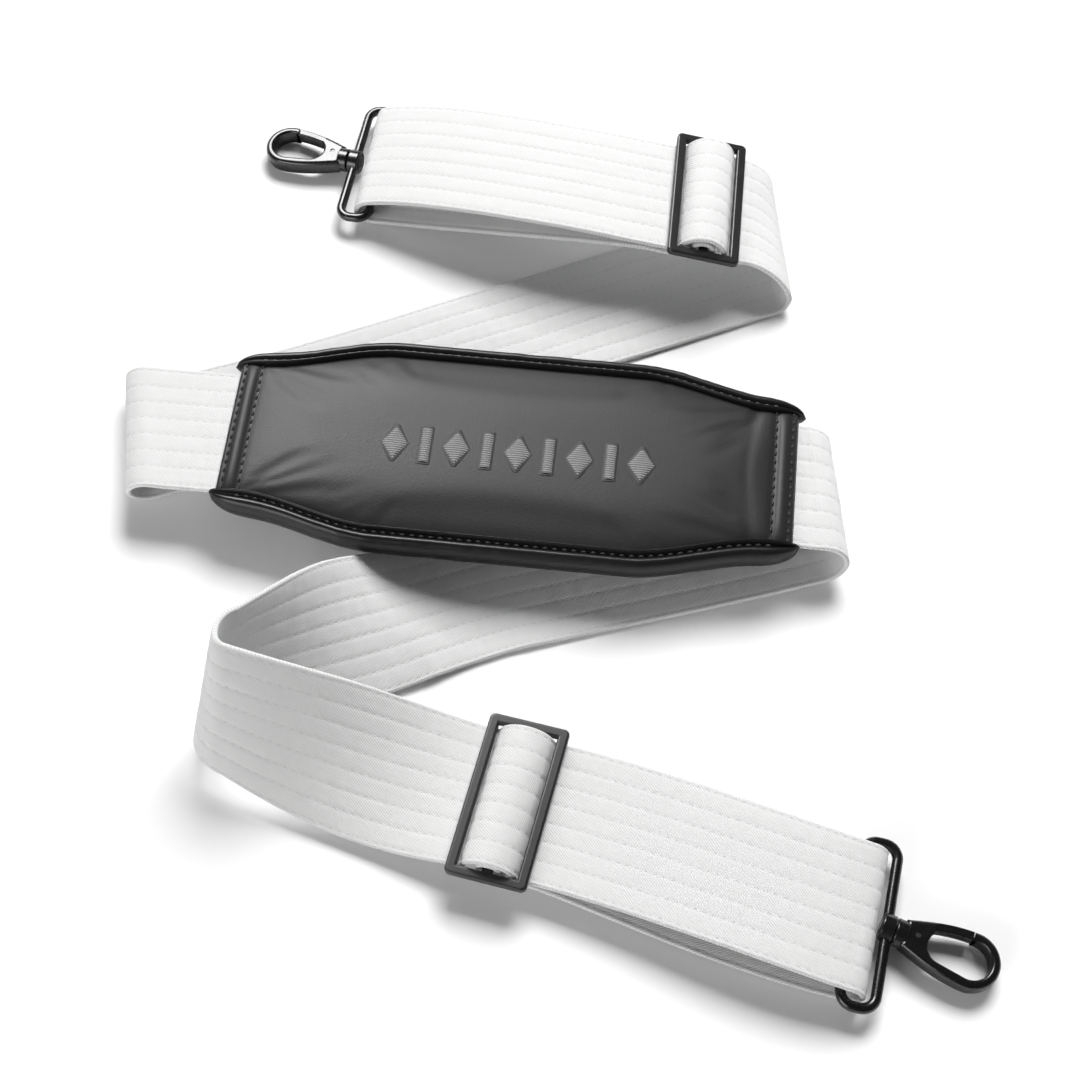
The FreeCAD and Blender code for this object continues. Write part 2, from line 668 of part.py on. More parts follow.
def round_the_ring(strip, run):
    """From the slider to the ring and round its inner bar."""
    bar, outward, normal = station_frame(run["bar"], run["fold_heading"], -RING_TILT, 0, 1)
    axis = bar + outward * run["fold_shift"]
    dip, pull = run["arrive"]
    side = normal.cross(outward)
    travel = turned(outward, side, dip)
    lift = turned(normal, side, dip)
    chord = (axis - strip.at).Length
    strip.bridge(axis + lift * FOLD_RADIUS, travel, lift, pulls=(chord, pull * 2), steps=18)
    strip.bend(FOLD_RADIUS, -(180 - dip - RING_TILT - run["leave"][0]))


def end_loop(strip, run):
    """Back under the slider, round its centre bar to the sewn tail."""
    origin, travel, normal = slider_frame(run)
    middle = SLIDER_DEPTH / 2
    half_flat = END_LOOP_FLAT / 2
    a = math.radians(RETURN_ANGLE)
    slant = (RETURN_DROP - 2 * RETURN_BEND * (1 - math.cos(a))) / math.sin(a)
    reach = 2 * RETURN_BEND * math.sin(a) + slant * math.cos(a)
    level = SLIDER_THICK / 2 - END_LOOP_RADIUS - RETURN_DROP
    join = origin + travel * (middle - half_flat + reach) + normal * level
    pull = run["leave"][1]
    chord = (join - strip.at).Length
    goal = join + travel * RETURN_LEAD
    strip.bridge(goal, travel * -1, normal * -1, pulls=(chord, pull), steps=18)
    strip.go(RETURN_LEAD)
    strip.bend(RETURN_BEND, -RETURN_ANGLE)
    strip.go(slant)
    strip.bend(RETURN_BEND, RETURN_ANGLE)
    strip.bend(END_LOOP_RADIUS, -180)
    strip.go(END_LOOP_FLAT)
    strip.bend(END_LOOP_RADIUS, -90)
    strip.go(SLIDER_THICK / 2 + RETURN_DROP - WEB_THICK - TAIL_RADIUS - GAP)
    strip.bend(TAIL_RADIUS, 90)


def make_side(prefix, run, side):
    """Every piece of one side, by node name."""
    ring_x = ring_frame(run)
    centre, axis, hook_z = swivel_frame(run)
    slider = slider_frame(run)
    to_ring = placement(*ring_x)
    swivel_dir = to_ring.Rotation.inverted().multVec(axis)
    hook_place = placement(centre, axis, hook_z)
    nodes = {
        "webbing": make_webbing(run, side).solid(),
        "slide_adjuster": placed(make_slider(), placement(*slider)),
        "ring": placed(make_ring(swivel_dir), to_ring),
        "swivel_stem": placed(make_stem(), hook_place),
        "hook_body": placed(make_hook(), hook_place),
        "hook_gate": placed(make_gate(), hook_place),
        "gate_pin": placed(make_pin(), hook_place),
        "gate_spring": placed(make_spring(), hook_place),
    }
    return {prefix + "_" + name: shape for name, shape in nodes.items()}


def footprint_shift(shapes):
    """The move that puts the origin at the middle of the footprint."""
    box = Part.makeCompound(list(shapes.values())).optimalBoundingBox()
    return Vector(-box.Center.x, -box.Center.y, -box.ZMin)


def build():
    """Every node of the strap, moved to its own origin."""
    nodes = make_pad()
    nodes.update(make_side("upper", UPPER_RUN, -1))
    nodes.update(make_side("lower", LOWER_RUN, 1))
    shift = footprint_shift(nodes)
    for shape in nodes.values():
        shape.translate(shift)
    return nodes, shift


NODES, SHIFT = build()
os.makedirs("parts", exist_ok=True)
for node_name, node_shape in NODES.items():
    node_shape.exportStep(os.path.join("parts", node_name + ".step"))
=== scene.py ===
import math
import bpy
import numpy as np
from mathutils import Matrix, Vector, noise
from mathutils.bvhtree import BVHTree


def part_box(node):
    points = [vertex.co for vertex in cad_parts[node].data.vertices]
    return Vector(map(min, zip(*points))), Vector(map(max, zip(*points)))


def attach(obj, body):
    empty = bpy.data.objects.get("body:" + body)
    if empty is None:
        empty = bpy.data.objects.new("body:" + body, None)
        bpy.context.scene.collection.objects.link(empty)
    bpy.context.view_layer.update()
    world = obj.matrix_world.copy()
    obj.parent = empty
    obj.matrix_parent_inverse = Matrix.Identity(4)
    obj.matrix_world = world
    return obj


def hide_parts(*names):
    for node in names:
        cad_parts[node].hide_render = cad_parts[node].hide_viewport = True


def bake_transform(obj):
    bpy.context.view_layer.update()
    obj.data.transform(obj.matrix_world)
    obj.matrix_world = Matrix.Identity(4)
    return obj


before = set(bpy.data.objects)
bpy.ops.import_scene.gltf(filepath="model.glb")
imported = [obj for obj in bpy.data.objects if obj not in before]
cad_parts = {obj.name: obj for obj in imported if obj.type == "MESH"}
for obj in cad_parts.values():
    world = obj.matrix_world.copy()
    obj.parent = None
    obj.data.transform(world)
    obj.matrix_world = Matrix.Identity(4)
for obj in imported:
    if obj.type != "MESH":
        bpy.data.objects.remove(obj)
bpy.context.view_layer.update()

# A padded shoulder strap laid in an S on a pale floor. The webbings, the pad
# and its bindings and motif are rebuilt here in millimetres in the strap's
# working frame, and moved to the CAD frame as their meshes are made.
MM = 0.001
UP = Vector((0, 0, 1))

# ---- driving dimensions, in millimetres ------------------------------------
GAP = 0.3
WEB_WIDTH = 50.0
WEB_THICK = 2.2
WEB_HALF = WEB_THICK / 2

PAD_CENTRE = Vector((-10.8, 22.2, 0))
PAD_HEADING = -6.2
PAD_OFFSET = 1.8
PAD_LENGTH = 204.0
PAD_BASE = 12.0
PAD_THICK = 14.0
PAD_END_HALF = 33.6
PAD_MID_HALF = 43.0
PAD_WEB_HEIGHT = 19.5
SEWN_LENGTH = 22.0

SLIDER_DEPTH = 27.6
SLIDER_THICK = 3.0
SLIDER_LEAD = 2.0
ARCH_FOOT = 2.2
ARCH_START = 3.0
END_LOOP_RADIUS = 3.1
END_LOOP_FLAT = 1.0
TAIL_RADIUS = 2.0
RETURN_DROP = 2.7
RETURN_BEND = 2.5
RETURN_ANGLE = 40.0
RETURN_LEAD = 9.0
RING_TILT = 4.2
FOLD_RADIUS = 5.5

# Stations of each webbing: (centre, heading, climb, bank, side, skew). seam is
# how far past the pad's end the cross row lies. rise holds an axis (None is the
# slider's own) and two lengths before the slider, for the webbing behind it.
UPPER_RUN = dict(
    exit_length=29.0,
    seam=8.0,
    loop=(9.2, -180.0, -12.0),
    under=[
        (Vector((-79.0, 62.4, 1.1)), 20.4, 0.0, 0.0, -1, 0.0),
        (Vector((88.8, 124.9, 1.1)), 20.4, 0.0, 0.0, -1, -16.0),
    ],
    folds=[(5.2, -112.0, -16.0)],
    slider=(Vector((79.0, 133.6, 20.0)), 174.0, 11.0, 0.0, 1, 0.0),
    bar=Vector((-62.9, 167.8, 7.2)),
    fold_shift=0.4,
    fold_heading=171.5,
    arrive=(15.0, 35.0),
    leave=(0.0, 30.0),
    rise=((0, 0, 1), 17.6, 1.2),
)
LOWER_RUN = dict(
    exit_length=7.5,
    seam=5.5,
    loop=(8.0, -177.0, -10.0),
    under=[
        (Vector((-9.3, -19.1, 1.4)), -166.4, 1.3, 0.0, -1, 0.0),
        (Vector((-46.0, -32.5, 5.4)), -155.0, 14.0, -7.0, -1, 0.0),
        (Vector((-104.1, -61.5, 26.9)), -152.0, 15.6, -77.0, -1, -7.0),
    ],
    folds=[(12.0, -77.0, -7.0), (7.7, -62.0, -18.0)],
    slider=(Vector((-25.7, -100.6, 8.6)), -15.0, 1.0, 0.0, 1, 0.0),
    bar=Vector((100.2, -143.2, 7.2)),
    fold_shift=1.7,
    fold_heading=-13.5,
    arrive=(12.0, 35.0),
    leave=(1.0, 40.0),
    rise=(None, 70.0, 0.0),
)

# Looks of the webbing
ROW_PITCH = 6.7  # between the lengthwise stitch rows
ROW_COUNT = 8
ROW_DEPTH = 0.24
CREASE_HALF = 0.6  # half width of a stitch row's sharp crease
PUCKER = 0.16
PUCKER_LIMIT = 0.08  # furthest that the ripple may rise above the solid
SWAY = 0.35  # sideways unevenness of the edges
CROSS_DEPTH = 0.3  # of the stitch row that sews the webbing to the pad
CROSS_HALF = 0.9
WEB_EDGE = 0.9  # radius of the rounded selvage
WEB_EDGE_SHARE = 0.38  # thickness left at the very edge
WEB_STEP = 1.5  # along
WEB_COLUMNS = 92
BEND_STEP = 6  # degrees
UV_START = 0.1  # metres, so that the UV across stays positive

# Weave and stitches of the webbing, in metres
TWILL_PITCH = 0.00118
TWILL_SLANT = 1.25
YARN_PITCH = 0.00042
STITCH_PITCH = 0.0032
STITCH_SHARPNESS = 22.0

# The embroidered row
MOTIF_COUNT = 9
MOTIF_PITCH = 11.0
MOTIF_HALF_HEIGHT = 7.0
MOTIF_PLACE = (3.0, -3.0)
LOZENGE_HALF = 5.0
LOZENGE_TIP = 0.15
BAR_HALF = 2.0
MOTIF_SINK = 0.12  # how far its border sits in the cover
MOTIF_STEPS = 24
MOTIF_COLUMNS = 11
SATIN_PITCH = 0.0009  # metres between threads

# Looks of the pad
ROLL = 7.0  # width of the rolled edge with its piping
ROLL_REACH = 2.6  # how far a roll runs past the cover's ends
ROLL_TAPER = 16.0  # length over which a roll closes to its tip
ROLL_MIDDLE = 7.6  # height that a roll closes to
ROLL_STEP = 1.2
ROLL_POINTS = 12  # of its outline, before the piping starts
TIP_SHARE = 0.04  # of its size left at the tip
END_ROWS = (2.0, 8.0)  # stitch rows in from each end of the pad
OUTLINE_MIDDLE = 44.0  # half length of the outline's widest stretch
OUTLINE_TAPER = 50.0
COVER_BORDER = 10.2  # height of the cover at its border, above the base
COVER_THICK = 0.8
COVER_TUCK = 0.9  # how far a cover runs under the rolled edge
COVER_ROWS = 171
COVER_COLUMNS = 59
CROWN = 2.6
CROWN_AT_ENDS = 0.45  # share of the crown left at the end rows
SIDE_RISE = 4.2  # length over which the crown rises from the long edges
END_RISE = 7.0  # and from the end rows
BEND_PLACE = 16.0  # the crease across the pad, in from each end
BEND_BOW = 2.0
BEND_HALF = 2.2
BEND_LEFT = 0.18
BEND_RIGHT = 0.55
BAND_PLACE = 5.0  # the puffed band between the end rows
BAND_HALF = 1.9
BAND_HEIGHT = 0.75
ROW_DENT = 0.55
ROW_DENT_HALF = 0.8
LIP = 1.3  # length of the turned-down end
LIP_HEIGHT = 9.0
PUFF_CAP = 0.9  # furthest that the cloth simulation may move a point
PUFF_FRAMES = 20
PUFF_PRESSURE = 2.5
SEAM_HALF = 0.9  # cloth this near a seam or the border is pinned

# Stitches of the pad: pitch, length and radius
ROLL_STITCH = (3.3, 2.3, 0.4)
END_STITCH = (3.4, 2.6, 0.5)
SEAM_INSET = 4.8  # of the groove between the roll and its piping
SEAM_HEIGHT = 10.9
STITCH_LIFT = 0.25  # of an end stitch's middle above the cover

# The camera stands as it did for the photograph, in metres and degrees.
CAMERA_ELEVATION = 61.0
CAMERA_DISTANCE = 0.6859
CAMERA_LENS = 63.33
SENSOR_WIDTH = 36.0

# The floor glows away from the strap, where the lights no longer reach, and
# the horizon is as bright, so that the back views stay pale too.
FLOOR_SIZE = 40
FLOOR_DROP = 0.0002
BACKDROP = 0.9
GLOW_START = 0.4  # metres from the middle
GLOW_FULL = 1.1
HORIZON = (0.02, 0.12)  # sines of the elevations between which the sky fades
SKY = 0.09


def pad_axes():
    h = math.radians(PAD_HEADING)
    x_dir = Vector((math.cos(h), math.sin(h), 0))
    return x_dir, UP.cross(x_dir)


def working_shift():
    """From the working frame to the CAD frame, read from the pad's own box."""
    low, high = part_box("pad_bottom_cover")
    x_dir, y_dir = pad_axes()
    origin = PAD_CENTRE + y_dir * PAD_OFFSET
    centre = (Vector(low) + Vector(high)) / 2 / MM
    return Vector((centre.x - origin.x, centre.y - origin.y, low[2] / MM - PAD_BASE))


SHIFT = working_shift()


def to_frame(p):
    """A working point in millimetres as a CAD-frame point in metres."""
    return (Vector(p) + SHIFT) * MM


def smooth(t):
    t = min(1.0, max(0.0, t))
    return t * t * (3 - 2 * t)


def bell(distance, half):
    return math.exp(-((distance / half) ** 2))


def wobble(x, y, z):
    return noise.noise(Vector((x, y, z)))


# ---- ribbons ---------------------------------------------------------------
def turned(v, axis, degrees):
    return Matrix.Rotation(math.radians(degrees), 3, axis) @ v


def station_frame(centre, heading, climb, bank, side):
    h = math.radians(heading)
    c = math.radians(climb)
    travel = Vector((math.cos(h) * math.cos(c), math.sin(h) * math.cos(c), math.sin(c)))
    normal = Vector((-math.cos(h) * math.sin(c), -math.sin(h) * math.sin(c), math.cos(c))) * side
    return centre, travel, turned(normal, travel, bank)


class Ribbon:
    """A strip of webbing: the same runs, bends and bridges as the CAD solid,
    in finer steps. marks holds the section number at each named place."""

    def __init__(self, centre, travel, normal):
        self.at = Vector(centre)
        self.travel = Vector(travel)
        self.normal = Vector(normal)
        self.sections = []
        self.marks = {}
        self.add(self.normal.cross(self.travel))

    def add(self, across):
        self.sections.append((self.at.copy(), Vector(across), self.normal.copy()))

    def mark(self, name):
        self.marks[name] = len(self.sections) - 1

    def go(self, length, skew=0.0):
        steps = max(1, math.ceil(length / WEB_STEP))
        across = self.normal.cross(self.travel)
        for i in range(1, steps + 1):
            self.at = self.at + self.travel * (length / steps)
            self.add(across + self.travel * math.tan(math.radians(skew * i / steps)))

    def bend(self, radius, degrees, skews=(0.0, 0.0)):
        sign = 1 if degrees > 0 else -1
        steps = max(4, math.ceil(abs(degrees) / BEND_STEP))
        a = math.radians(abs(degrees)) / steps
        for i in range(1, steps + 1):
            k = math.radians(skews[0] + (skews[1] - skews[0]) * i / steps)
            across = self.normal.cross(self.travel)
            axis = across * math.cos(k) + self.travel * math.sin(k)
            forward = self.travel * math.cos(k) - across * math.sin(k)
            self.at = self.at + axis * (radius * a * math.tan(k)) + forward * (radius * math.sin(a))
            self.at = self.at + self.normal * (sign * radius * (1 - math.cos(a)))
            ahead = forward * math.cos(a) + self.normal * (sign * math.sin(a))
            self.normal = self.normal * math.cos(a) - forward * (sign * math.sin(a))
            self.travel = ahead * math.cos(k) + axis * math.sin(k)
            self.add(axis * (1 / math.cos(k)))

    def bridge(self, centre, travel, normal, skews=(0.0, 0.0), pulls=None):
        start, t0, n0 = self.at.copy(), self.travel.copy(), self.normal.copy()
        chord = (centre - start).length
        pull0, pull1 = pulls or (chord, chord)
        steps = max(8, math.ceil(chord / WEB_STEP))
        for i in range(1, steps + 1):
            t = i / steps
            h1 = t**3 - 2 * t**2 + t
            h2 = 3 * t**2 - 2 * t**3
            h3 = t**3 - t**2
            self.at = start * (1 - h2) + t0 * (h1 * pull0) + centre * h2 + travel * (h3 * pull1)
            slope = (start - centre) * (6 * t**2 - 6 * t)
            slope = slope + t0 * ((3 * t**2 - 4 * t + 1) * pull0)
            slope = slope + travel * ((3 * t**2 - 2 * t) * pull1)
            self.travel = slope.normalized()
            mixed = n0 * (1 - t) + normal * t
            self.normal = (mixed - self.travel * mixed.dot(self.travel)).normalized()
            skew = math.tan(math.radians(skews[0] * (1 - t) + skews[1] * t))
            self.add(self.normal.cross(self.travel) + self.travel * skew)


def slider_frame(run):
    centre, heading, climb, bank, side, _ = run["slider"]
    centre, travel, normal = station_frame(centre, heading, climb, bank, side)
    return centre + travel * SLIDER_LEAD + normal * (WEB_HALF + GAP), travel, normal


def fold_frame(run):
    """Where the webbing folds round a ring: its bar, the way out and up."""
    return station_frame(run["bar"], run["fold_heading"], -RING_TILT, 0, 1)


def pad_end(side):
    heading = PAD_HEADING if side > 0 else PAD_HEADING + 180
    h = math.radians(heading)
    reach = PAD_LENGTH / 2 - SEWN_LENGTH
    centre = PAD_CENTRE + Vector((math.cos(h), math.sin(h), 0)) * reach + UP * PAD_WEB_HEIGHT
    return station_frame(centre, heading, 0, 0, 1)


def make_webbing(run, side):
    strip = Ribbon(*pad_end(side))
    strip.go(SEWN_LENGTH)
    radius, angle, skew = run["loop"]
    strip.go(run["exit_length"], skew)
    strip.bend(radius, angle, (skew, skew))
    for stop in run["under"]:
        strip.bridge(*station_frame(*stop[:5]), skews=(skew, stop[5]))
        skew = stop[5]
    strip.mark("under_end")
    for radius, angle, skew in run["folds"]:
        strip.bend(radius, angle, (run["under"][-1][5], skew))
    strip.bridge(*station_frame(*run["slider"][:5]), skews=(skew, 0))
    strip.mark("slider_in")
    arch_over_bar(strip)
    strip.mark("slider_out")
    round_the_ring(strip, run)
    end_loop(strip, run)
    return strip


def arch_over_bar(strip):
    level = SLIDER_THICK / 2 + END_LOOP_RADIUS + WEB_THICK + GAP
    climb = level + WEB_HALF + GAP
    half_span = SLIDER_DEPTH / 2 - ARCH_START
    slope = 2 * math.atan2(climb, half_span)
    crown = half_span / math.sin(slope) - ARCH_FOOT
    degrees = math.degrees(slope)
    strip.go(SLIDER_LEAD + ARCH_START)
    strip.bend(ARCH_FOOT, degrees)
    strip.bend(crown, -2 * degrees)
    strip.bend(ARCH_FOOT, degrees)
    strip.go(ARCH_START)


def round_the_ring(strip, run):
    bar, outward, normal = fold_frame(run)
    axis = bar + outward * run["fold_shift"]
    dip, pull = run["arrive"]
    side = normal.cross(outward)
    travel = turned(outward, side, dip)
    lift = turned(normal, side, dip)
    chord = (axis - strip.at).length
    strip.bridge(axis + lift * FOLD_RADIUS, travel, lift, pulls=(chord, pull * 2))
    strip.bend(FOLD_RADIUS, -(180 - dip - RING_TILT - run["leave"][0]))


def end_loop(strip, run):
    origin, travel, normal = slider_frame(run)
    a = math.radians(RETURN_ANGLE)
    slant = (RETURN_DROP - 2 * RETURN_BEND * (1 - math.cos(a))) / math.sin(a)
    reach = 2 * RETURN_BEND * math.sin(a) + slant * math.cos(a)
    level = SLIDER_THICK / 2 - END_LOOP_RADIUS - RETURN_DROP
    join = origin + travel * (SLIDER_DEPTH / 2 - END_LOOP_FLAT / 2 + reach) + normal * level
    chord = (join - strip.at).length
    goal = join + travel * RETURN_LEAD
    strip.bridge(goal, travel * -1, normal * -1, pulls=(chord, run["leave"][1]))
    strip.mark("return_in")
    strip.go(RETURN_LEAD)
    strip.bend(RETURN_BEND, -RETURN_ANGLE)
    strip.go(slant)
    strip.bend(RETURN_BEND, RETURN_ANGLE)
    strip.bend(END_LOOP_RADIUS, -180)
    strip.go(END_LOOP_FLAT)
    strip.bend(END_LOOP_RADIUS, -90)
    drop = SLIDER_THICK / 2 + RETURN_DROP - WEB_THICK - TAIL_RADIUS - GAP
    strip.go(drop)
    strip.bend(TAIL_RADIUS, 90)


# ---- meshes ----------------------------------------------------------------
def new_piece(name, verts, faces, material, uvs=None):
    """A smooth mesh object from working-frame points in millimetres."""
    points = (np.asarray(verts, float) + np.array(SHIFT)) * MM
    mesh = bpy.data.meshes.new(name)
    mesh.from_pydata(points.tolist(), [], faces)
    mesh.polygons.foreach_set("use_smooth", [True] * len(mesh.polygons))
    if uvs is not None:
        layer = mesh.uv_layers.new(name="UVMap")
        loops = np.zeros(len(mesh.loops), int)
        mesh.loops.foreach_get("vertex_index", loops)
        layer.data.foreach_set("uv", np.asarray(uvs, float)[loops].ravel())
    mesh.materials.append(material)
    mesh.validate()
    mesh.update()
    obj = bpy.data.objects.new(name, mesh)
    bpy.context.scene.collection.objects.link(obj)
    return obj


def tube_faces(rows, cols):
    """Quads round a tube of rows by cols points, with end faces."""
    faces = []
    for i in range(rows - 1):
        for j in range(cols):
            k = (j + 1) % cols
            faces.append((i * cols + j, (i + 1) * cols + j, (i + 1) * cols + k, i * cols + k))
    faces.append(tuple(range(cols)))
    faces.append(tuple((rows - 1) * cols + j for j in range(cols - 1, -1, -1)))
    return faces


def grid_faces(rows, cols, flip=False):
    faces = []
    for i in range(rows - 1):
        for j in range(cols - 1):
            quad = (i * cols + j, (i + 1) * cols + j, (i + 1) * cols + j + 1, i * cols + j + 1)
            faces.append(quad[::-1] if flip else quad)
    return faces


def row_groove(v):
    """0 between the lengthwise stitch rows and 1 on a row."""
    half = ROW_COUNT / 2
    best = min(abs(v - (k - half + 0.5) * ROW_PITCH) for k in range(ROW_COUNT))
    crease = bell(best, CREASE_HALF)
    return 0.7 * crease + 0.3 * max(0.0, 1 - best / (ROW_PITCH / 2)) ** 2


def web_profile():
    """Half cross-section: column places, the share of full thickness and the
    depth of the stitch rows' grooves."""
    half = WEB_WIDTH / 2
    places = []
    for j in range(WEB_COLUMNS + 1):
        t = 2 * j / WEB_COLUMNS - 1
        v = half * math.copysign(1 - (1 - abs(t)) ** 1.12, t)
        edge = min(1.0, (half - abs(v)) / WEB_EDGE)
        round_share = math.sqrt(max(0.0, 1 - (1 - edge) ** 2))
        rounding = WEB_EDGE_SHARE + (1 - WEB_EDGE_SHARE) * round_share
        places.append((v, rounding, row_groove(v)))
    return places


def web_ripple(s, v, seed):
    """Soft unevenness of the quilted cloth, in millimetres."""
    slow = wobble(s / 17, v / 11, seed)
    quick = wobble(s / 5.5, v / 4.5, seed + 7)
    cross = wobble(s / 3.2, v / 18, seed + 13)
    return PUCKER * (0.65 * slow + 0.6 * quick + 0.9 * cross)


def web_piece(name, strip, first, last, seed, material, cross_rows=()):
    """The stretch of webbing between two sections as one closed mesh."""
    profile = web_profile()
    lengths = [0.0]
    for a, b in zip(strip.sections, strip.sections[1:]):
        lengths.append(lengths[-1] + (b[0] - a[0]).length)
    verts, uvs = [], []
    stretch = range(first, last + 1)
    for i in stretch:
        centre, across, normal = strip.sections[i]
        s = lengths[i]
        dent = sum(bell(s - row, CROSS_HALF) for row in cross_rows)
        sway = SWAY * wobble(s / 30, seed, 3.1)
        for face in (1, -1):
            for v, rounding, groove in profile if face > 0 else profile[::-1]:
                ripple = web_ripple(s, v, seed + face) * rounding
                depth = ROW_DEPTH * groove + CROSS_DEPTH * min(1.0, dent)
                h = (WEB_HALF - depth) * rounding + ripple * (1 - 0.6 * groove)
                h = min(h, WEB_HALF + PUCKER_LIMIT)
                verts.append(centre + across * (v + sway * rounding) + normal * (face * h))
                uvs.append((s * MM, v * MM + UV_START))
    rows = len(stretch)
    cols = 2 * len(profile)
    piece = new_piece(name, verts, tube_faces(rows, cols), material, uvs)
    sharpen_ends(piece, rows, cols)
    return piece


def sharpen_ends(piece, rows, cols):
    """Keeps the end faces out of the smooth shading, so that two stretches
    meet without a line."""
    for edge in piece.data.edges:
        a, b = edge.vertices
        if max(a, b) < cols or min(a, b) >= (rows - 1) * cols:
            edge.use_edge_sharp = True


# ---- materials -------------------------------------------------------------
class Nodes:
    """Short calls that build a node material."""

    def __init__(self, name, color, roughness, **inputs):
        self.material = bpy.data.materials.new(name)
        self.material.use_nodes = True
        self.tree = self.material.node_tree
        self.shader = self.tree.nodes["Principled BSDF"]
        self.shader.inputs["Base Color"].default_value = (*color, 1)
        self.shader.inputs["Roughness"].default_value = roughness
        for key, value in inputs.items():
            self.shader.inputs[key.replace("_", " ")].default_value = value

    def node(self, kind, **settings):
        made = self.tree.nodes.new(kind)
        for key, value in settings.items():
            setattr(made, key, value)
        return made

    def link(self, source, target):
        self.tree.links.new(source, target)

    def math(self, operation, a, b=None, c=None):
        made = self.node("ShaderNodeMath", operation=operation)
        for socket, value in zip(made.inputs, (a, b, c)):
            if value is None:
                continue
            if isinstance(value, (int, float)):
                socket.default_value = value
            else:
                self.link(value, socket)
        return made.outputs[0]

    def coords(self, kind):
        return self.node("ShaderNodeTexCoord").outputs[kind]

    def split(self, vector):
        made = self.node("ShaderNodeSeparateXYZ")
        self.link(vector, made.inputs[0])
        return made.outputs

    def noise(self, vector, scale, detail=3.0, rough=0.55):
        made = self.node("ShaderNodeTexNoise")
        self.link(vector, made.inputs["Vector"])
        made.inputs["Scale"].default_value = scale
        made.inputs["Detail"].default_value = detail
        made.inputs["Roughness"].default_value = rough
        return made.outputs[0]

    def voronoi(self, vector, scale, feature="F1"):
        made = self.node("ShaderNodeTexVoronoi", feature=feature)
        self.link(vector, made.inputs["Vector"])
        made.inputs["Scale"].default_value = scale
        return made.outputs["Distance"]

    def between(self, factor, low, high):
        """low where factor is 0, high where it is 1, as a number."""
        made = self.node("ShaderNodeMapRange")
        self.link(factor, made.inputs[0])
        made.inputs[3].default_value = low
        made.inputs[4].default_value = high
        return made.outputs[0]

    def blend(self, factor, low, high):
        """A colour between low and high."""
        made = self.node("ShaderNodeMix", data_type="RGBA")
        self.link(factor, made.inputs[0])
        for index, colour in ((6, low), (7, high)):
            if isinstance(colour, tuple):
                made.inputs[index].default_value = (*colour, 1)
            else:
                self.link(colour, made.inputs[index])
        return made.outputs[2]

    def bump(self, height, strength, distance, previous=None):
        made = self.node("ShaderNodeBump")
        made.inputs["Strength"].default_value = strength
        made.inputs["Distance"].default_value = distance
        self.link(height, made.inputs["Height"])
        if previous is not None:
            self.link(previous, made.inputs["Normal"])
        return made.outputs[0]

    def finish(self, color=None, roughness=None, normal=None):
        if color is not None:
            self.link(color, self.shader.inputs["Base Color"])
        if roughness is not None:
            self.link(roughness, self.shader.inputs["Roughness"])
        if normal is not None:
            self.link(normal, self.shader.inputs["Normal"])
        return self.material


def grey(value):
    return (value, value, value)


def webbing_material():
    """White cotton twill with lengthwise rows of small stitches."""
    n = Nodes("white_twill", (0.8, 0.8, 0.79), 0.85, Sheen_Weight=0.12, Sheen_Roughness=0.5)
    n.shader.inputs["Specular IOR Level"].default_value = 0.25
    uv = n.coords("UV")
    along, across, _ = n.split(uv)
    drift = n.noise(uv, 900.0, 2.0)
    twill = n.math("MULTIPLY_ADD", across, TWILL_SLANT, along)
    twill = n.math("MULTIPLY", twill, 2 * math.pi / TWILL_PITCH)
    twill = n.math("MULTIPLY_ADD", drift, 2.2, twill)
    rib = n.math("MULTIPLY_ADD", n.math("SINE", twill), 0.5, 0.5)
    yarn = n.math("MULTIPLY", across, 2 * math.pi / YARN_PITCH)
    yarn = n.math("MULTIPLY_ADD", n.math("SINE", yarn), 0.5, 0.5)
    weave = n.math("MULTIPLY_ADD", yarn, 0.3, rib)
    # off is 0 on a stitch row and 0.5 midway between two
    place = n.math("ADD", across, -UV_START + ROW_PITCH * MM * ROW_COUNT / 2)
    share = n.math("FRACT", n.math("DIVIDE", place, ROW_PITCH * MM))
    off = n.math("ABSOLUTE", n.math("SUBTRACT", share, 0.5))
    on_row = n.math("SUBTRACT", 1.0, n.math("MULTIPLY", off, STITCH_SHARPNESS))
    on_row = n.math("MAXIMUM", on_row, 0.0)
    step = n.math("MULTIPLY", along, 2 * math.pi / STITCH_PITCH)
    dash = n.math("GREATER_THAN", n.math("SINE", step), -0.35)
    gaps = n.math("MULTIPLY", on_row, n.math("SUBTRACT", 1.0, dash))
    thread = n.math("MULTIPLY", on_row, dash)
    soil = n.noise(uv, 22.0, 4.0)
    base = n.blend(n.between(soil, 0.2, 1.0), (0.71, 0.71, 0.708), (0.78, 0.78, 0.777))
    base = n.blend(n.between(rib, 0.0, 0.5), base, grey(0.5))
    # Painted shade: the gaps between the stitches on each row are painted darker, standing in for the shade
    # in the needle holes.
    base = n.blend(n.math("MULTIPLY", gaps, 0.4), base, grey(0.4))
    height = n.math("MULTIPLY_ADD", thread, 0.7, weave)
    height = n.math("MULTIPLY_ADD", gaps, -1.2, height)
    fuzz = n.noise(uv, 3500.0, 2.0)
    normal = n.bump(height, 0.5, 0.00016)
    normal = n.bump(fuzz, 0.3, 0.00012, normal)
    return n.finish(base, n.between(soil, 0.8, 0.92), normal)


